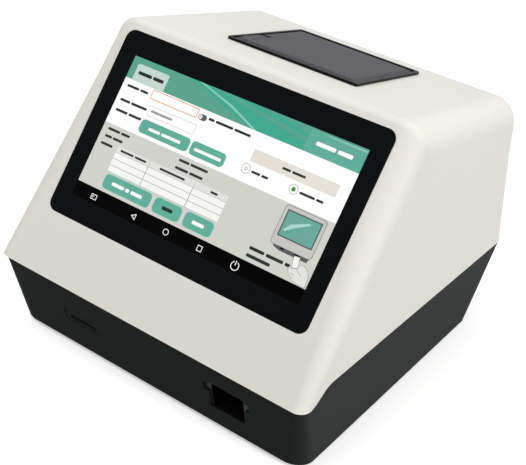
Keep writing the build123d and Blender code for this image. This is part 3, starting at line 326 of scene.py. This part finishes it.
def words(colour, layer, height, *spans):
    """Plain bars in place of words: (left, right, middle height)."""
    for x0, x1, y in spans:
        paint(colour, layer, rounded(x0, y - height / 2, x1, y + height / 2, height * 0.35, 3))


def ring(colour, layer, inside, x, y, outer, thick):
    """Round outline: a disc with a smaller one in the ground's colour on it."""
    paint(colour, layer, disc(x, y, outer))
    paint(inside, layer + 1, disc(x, y, outer - thick))


# glint is painted reflection: a lighter teal for the room's reflection lying across the teal head
screen_colours = {
    "black": "000000", "white": "FFFFFF", "grey": "D2D2CC", "teal": "5BA48D", "teal_pill": "62AE9A",
    "teal_light": "8FC9BA", "tab": "C4D8D0", "beige": "E4E0D9", "ink": "2C3431", "faint_ink": "9A9F9C",
    "line": "A9A9A4", "orange": "E08A4A", "green": "3F8F3A", "device": "C6C6C2", "device_dark": "5A5D5F",
    "device_edge": "8C8E8C", "cell": "F6F6F3", "header_cell": "E2E2DE", "glint": "43A98F",
    "small_screen": "6BA99A", "streak": "A8D6CB",
}
# the picture's ground: a teal head, a white upper field, a grey lower field and the black key bar
left, right_edge = 28, 1517
paint("black", 0, box_area(left, 55, right_edge, 892))
paint("teal", 1, box_area(left, 55, right_edge, 183))
# painted reflection: the two lighter bands across the teal head, and the thin light line along them
# below, are the room's reflection on the glass drawn into the picture
paint(
    "glint", 2,
    [(420, 55), (560, 55), (1180, 140), (1180, 183), (860, 183)],
    [(640, 55), (860, 55), (1180, 90), (1180, 112)],
)
paint("teal_light", 3, [(470, 55), (500, 55), (720, 110), (905, 183), (880, 183), (700, 116)])
paint("teal_pill", 3, rounded(1187, 64, 1512, 181, 8))
paint("teal_light", 4, [(1250, 64), (1512, 64), (1512, 74), (1300, 70)])
paint("tab", 3, rounded(70, 88, 287, 186, 12))
paint("white", 1, box_area(left, 183, right_edge, 452))
paint("grey", 1, box_area(left, 452, right_edge, 808))
# the tab, the fields and the buttons, with bars for their words
words("ink", 4, 19, (92, 186, 135), (195, 266, 135))
words("white", 5, 21, (1240, 1356, 123), (1368, 1454, 123))
words("ink", 4, 14, (60, 143, 222), (152, 205, 222), (617, 655, 220), (664, 775, 220), (784, 886, 220))
words("ink", 4, 14, (57, 125, 307), (133, 242, 307), (57, 140, 368), (148, 235, 368))
paint("orange", 2, rounded(228, 190, 543, 243, 5))
paint("white", 3, rounded(232, 194, 539, 239, 3))
paint("line", 2, rounded(254, 276, 567, 332, 3))
paint("white", 3, rounded(256, 278, 565, 330, 2))
words("faint_ink", 4, 13, (270, 415, 303))
paint("device_dark", 2, rounded(556, 210, 606, 244, 16))
ring("device_edge", 3, "header_cell", 566, 227, 15, 3)
for x0, x1 in ((243, 577), (587, 810)):
    paint("teal_pill", 2, rounded(x0, 355, x1, 432, 24))
words("white", 4, 16, (303, 382, 397), (392, 520, 397), (613, 787, 397))
paint("beige", 2, box_area(940, 270, 1455, 337))
words("ink", 4, 13, (1127, 1178, 304), (1187, 1267, 304), (976, 1030, 384), (1038, 1079, 384))
words("ink", 4, 13, (1270, 1361, 384), (1369, 1410, 384))
for x in (940, 1233):
    ring("device_edge", 2, "white", x, 381, 27, 3)
ring("device_edge", 4, "header_cell", 940, 381, 10, 2)
paint("green", 4, disc(1233, 381, 12))
# the table of results and the three buttons under it
words("ink", 4, 14, (65, 148, 480), (157, 216, 480), (558, 626, 480), (634, 747, 480))
words("ink", 4, 14, (65, 112, 522), (120, 188, 522), (554, 640, 524), (649, 735, 524), (60, 141, 567))
paint("header_cell", 2, box_area(175, 548, 918, 583))
for y0, y1 in ((585, 618), (622, 655), (660, 694)):
    for x0, x1 in ((175, 398), (404, 702), (708, 918)):
        paint("cell", 2, box_area(x0, y0, x1, y1))
for x in (401, 705):
    paint("line", 3, box_area(x - 1.5, 550, x + 1.5, 694))
for y in (583.5, 620, 657.5, 695):
    paint("line", 3, box_area(175, y - 1, 918, y + 1))
words("ink", 4, 12, (200, 291, 566), (300, 378, 566), (472, 640, 566), (810, 856, 566))
for x0, x1 in ((180, 507), (525, 710), (730, 917)):
    paint("teal_light", 2, rounded(x0, 704, x1, 791, 26))
    paint("teal_pill", 3, rounded(x0 + 3, 707, x1 - 3, 788, 23))
words("white", 5, 19, (238, 322, 748), (332, 358, 748), (370, 447, 748), (785, 862, 748))
words("ink", 5, 19, (584, 654, 748))
# the small drawing of the reader with its cartridge
paint("device_edge", 2, rounded(1233, 458, 1480, 670, 20))
paint("device", 3, rounded(1237, 462, 1476, 668, 18))
paint("device_dark", 4, rounded(1254, 480, 1460, 623, 5))
paint("small_screen", 5, rounded(1261, 487, 1453, 616, 4))
paint("streak", 6, [(1272, 585), (1300, 548), (1392, 506), (1404, 512), (1330, 556), (1282, 592)])
paint("device_dark", 2, [(1247, 664), (1470, 664), (1462, 690), (1300, 690), (1262, 680)])
paint("black", 4, rounded(1302, 671, 1322, 680, 3), rounded(1384, 671, 1420, 681, 3))
paint("device_edge", 5, [(1388, 680), (1424, 676), (1434, 733), (1400, 741)])
paint("cell", 6, [(1391, 682), (1421, 679), (1431, 731), (1402, 738)])
hand = [
    (1389, 736), (1397, 748), (1404, 740), (1433, 738), (1437, 720), (1450, 705), (1472, 709),
    (1493, 725), (1507, 752), (1512, 805), (1468, 805), (1440, 800), (1424, 795), (1430, 785),
    (1408, 781), (1392, 768), (1383, 750),
]
paint("device_edge", 7, hand)
paint("header_cell", 8, [(x + (1450 - x) * 0.045, y + (760 - y) * 0.045) for x, y in hand])
paint(
    "device_edge", 9,
    [(1410, 765), (1434, 770), (1434, 772), (1409, 768)],
    [(1438, 741), (1467, 759), (1466, 761), (1437, 744)],
)
words("ink", 4, 17, (1146, 1236, 738), (1247, 1350, 738), (1361, 1392, 738), (1146, 1290, 778))
# keys of the black bar: picture, back, home, recent, power
icon_y = 856
paint("cell", 1, rounded(147, icon_y - 15, 187, icon_y + 15, 4))
paint("black", 2, rounded(151, icon_y - 11, 183, icon_y + 11, 2))
paint("cell", 3, box_area(155, icon_y - 6, 169, icon_y - 2), box_area(155, icon_y + 2, 163, icon_y + 6))
paint("cell", 1, [(430, icon_y), (462, icon_y - 18), (462, icon_y + 18)])
paint("black", 2, [(439, icon_y), (458, icon_y - 10.5), (458, icon_y + 10.5)])
ring("cell", 1, "black", 668, icon_y, 18, 4)
paint("cell", 1, rounded(874, icon_y - 16, 906, icon_y + 16, 3))
paint("black", 2, rounded(878, icon_y - 12, 902, icon_y + 12, 2))
ring("cell", 1, "black", 1115, icon_y, 25, 4.5)
paint("black", 3, box_area(1105, icon_y - 29, 1125, icon_y - 12))
paint("cell", 4, box_area(1112.7, icon_y - 28, 1117.3, icon_y - 3))


def flat_piece(name, areas, material):
    """One mesh of the flat areas that share a colour."""
    mesh = bpy.data.meshes.new(name)
    shape = bmesh.new()
    for outline, layer in areas:
        corners = [shape.verts.new(on_glass(x, y, layer)) for x, y in outline]
        face = shape.faces.new(corners)
        face.normal_update()
        if face.normal.dot(off_glass) < 0:
            face.normal_flip()
    shape.to_mesh(mesh)
    shape.free()
    mesh.materials.append(material)
    piece = bpy.data.objects.new(name, mesh)
    scene.collection.objects.link(piece)
    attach(piece, "root")


for colour, areas in picture.items():
    flat_piece(f"picture_{colour}", areas, lit_colour(f"lit_{colour}", screen_colours[colour]))

# bright rolled sheet, with its faint lines along the width
sheet_steel = worked_metal("pressed_sheet_steel", "B9BCBE", 0.36, 0.8, "X")
dress(sheet_steel, "display_bracket")

# ---------------------------------------------------------------- printer
# The printer drops into the cover's top: a black moulding whose raised rim draws a dark line round
# a grey lid. The lid's bevelled panel turns on a steel pin at its back, and a lever lets it go.
printer_black = moulded("black_abs_satin", "070809", "050606", 0.4, 0.7, 0.3, 0.1)
dress(printer_black, "printer_frame")
lid_abs = moulded("grey_abs_fine_texture", "4B4C52", "47484D", 0.5, 0.7, 0.4, 0.06)
dress(lid_abs, "printer_lid", "lid_lever")
# pins, shafts and rollers: bright turned steel against matt black rubber
ground_steel = worked_metal("ground_steel", "C6C9CB", 0.25, 0.4, "X")
dress(ground_steel, "lid_hinge_pin", "idler_pin", "platen_shaft", "motor_shaft")
dress(sheet_steel, "tear_bar", "gear_plate")
roller_rubber = moulded("ground_nitrile_rubber", "1B1B1C", "171718", 0.6, 0.5, 0.3, 0.3)
dress(roller_rubber, "platen_roller")
# gears and head in slightly waxy off-white, on an even grey casting
acetal = moulded("white_acetal", "E6E2D5", "E0DCCE", 0.35, 1.5, 0.15, 0.45)
dress(acetal, "platen_gear", "idler_gear", "motor_pinion", "thermal_head")
cast_alloy = worked_metal("bead_blasted_aluminium", "B4B6B8", 0.5, 0.6, "Z", 1.0)
dress(cast_alloy, "head_heatsink")
motor_enamel = moulded("black_enamelled_can", "2B2C2E", "272829", 0.3, 3.0, 0.1, 0.5)
dress(motor_enamel, "feed_motor")
# the roll is smooth white paper on a brown board tube
roll_paper = moulded("smooth_thermal_paper", "F3F1EC", "EFEDE7", 0.6, 0.3, 0.2, 0.3)
dress(roll_paper, "paper_roll")
core_board = moulded("grey_board_tube", "9A7F5C", "8F7553", 0.8, 0.6, 0.5, 0.2)
dress(core_board, "roll_core")

# ---------------------------------------------------------------- slots
# The cartridge opening has a black liner, and the card slot a black socket behind it.
dress(printer_black, "slot_guide", "card_reader")

# ---------------------------------------------------------------- scan unit
# Behind the opening a black carriage runs on two ground rods, moved by a lead screw and a stepper
# motor. A blasted aluminium head looks down on it from above.
dress(printer_black, "cartridge_carriage")
dress(cast_alloy, "scan_chassis", "optical_head", "stage_coupling")
# the rods and screw give the brightest, narrowest lines inside
rod_steel = worked_metal("ground_rod_steel", "CFD1D3", 0.2, 0.3, "Y")
dress(rod_steel, "guide_rods", "lead_screw", "stage_motor_shaft")
dress(motor_enamel, "stage_motor")
bronze = worked_metal("sintered_bronze", "B58A55", 0.45, 0.4, "Y", 1.0)
dress(bronze, "screw_bearings")
# a clear lens, a warm lamp body and a dark detector face each other in the head
lens_material, tree = blank_material("coated_lens_glass")
shader = add(tree, "ShaderNodeBsdfPrincipled", {
    "Base Color": linear("DCEBF0"), "Roughness": 0.03, "IOR": 1.52, "Transmission Weight": 1.0,
})
add(tree, "ShaderNodeOutputMaterial", {"Surface": shader.outputs[0]})
dress(lens_material, "objective_lens")
lamp_resin = moulded("clear_lamp_resin", "E3DCB8", "DAD3AC", 0.15, 2.0, 0.05, 0.5)
dress(lamp_resin, "light_source")
dark_resin = moulded("dark_detector_resin", "2A2230", "251D2A", 0.2, 2.0, 0.05, 0.5)
dress(dark_resin, "photo_detector")

# ---------------------------------------------------------------- boards
# The boards are glass-epoxy under green solder mask, with their tracks just visible through it.
board_mask, tree = blank_material("green_solder_mask")
place = object_place(tree)
tracks = add(tree, "ShaderNodeTexBrick", {
    "Vector": place, "Color1": linear("1D5C3B"), "Color2": linear("22663F"), "Mortar": linear("174C31"),
    "Scale": 90.0, "Mortar Size": 0.06, "Brick Width": 1.6, "Row Height": 0.35,
})
shader = add(tree, "ShaderNodeBsdfPrincipled", {
    "Base Color": tracks.outputs[0], "Roughness": 0.3, "IOR": 1.5,
})
add(tree, "ShaderNodeOutputMaterial", {"Surface": shader.outputs[0]})
dress(board_mask, "main_board", "detector_board", "display_board")
dress(printer_black, "speaker")

# ---------------------------------------------------------------- rear ports
# The rear panel carries the round supply inlet, a rocker switch, two stacked sockets, a network
# socket and the fan's grille.
# glossier black than the base, with plated shells that glint in it
port_black = moulded("black_port_nylon", "161718", "131415", 0.34, 0.8, 0.25, 0.4)
dress(port_black, "supply_inlet", "switch_body", "switch_rocker", "fan_frame", "fan_rotor")
plated_shell = worked_metal("nickel_plated_shell", "CBC9C3", 0.22, 0.6, "Z")
dress(plated_shell, "usb_ports", "network_port")
